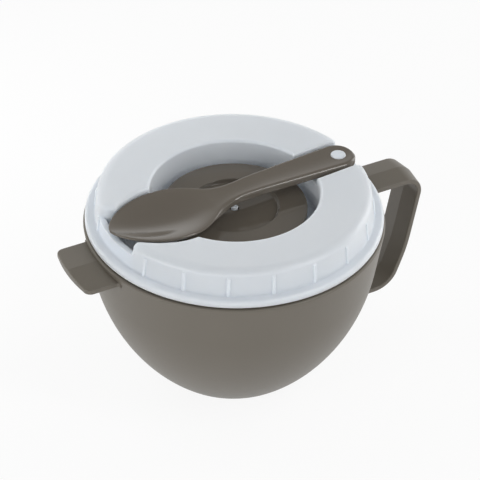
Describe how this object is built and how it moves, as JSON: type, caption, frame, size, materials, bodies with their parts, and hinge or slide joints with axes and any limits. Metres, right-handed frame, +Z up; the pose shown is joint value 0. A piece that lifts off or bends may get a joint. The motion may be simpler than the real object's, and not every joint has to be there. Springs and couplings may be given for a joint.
{
  "type": "soup mug",
  "caption": "Round-bottomed soup mug with strap handle and grip tab, frosted press-on lid with a ribbed ring, a vent dial in its well and a spoon held across the lid.",
  "frame": {"origin": "middle of the flat base, on the surface the mug stands on", "axes": "+Z up along the mug's axis, +X towards the handle, -X towards the tab"},
  "size_m": [0.1953, 0.15, 0.1044],
  "materials": {
    "mug_plastic": "satin taupe moulded plastic",
    "lid_plastic": "frosted translucent moulded plastic",
    "dial_plastic": "glossy taupe moulded plastic",
    "spoon_plastic": "glossy taupe moulded plastic"
  },
  "bodies": {
    "mug": {"mug": "mug_plastic"},
    "lid": {"lid": "lid_plastic"},
    "vent_dial": {"vent_dial": "dial_plastic"},
    "spoon": {"spoon": "spoon_plastic"}
  },
  "joints": [
    {"name": "lid_lift", "type": "slide", "parent": "mug", "child": "lid", "axis": [0, 0, 1], "range_m": [0, 0.06]},
    {"name": "spoon_lift", "type": "slide", "parent": "lid", "child": "spoon", "axis": [0, 0, 1], "range_m": [0, 0.05]},
    {"name": "vent_turn", "type": "hinge", "parent": "lid", "child": "vent_dial", "pos_m": [0, 0, 0.091], "axis": [0, 0, 1], "range_deg": [0, 90]}
  ]
}
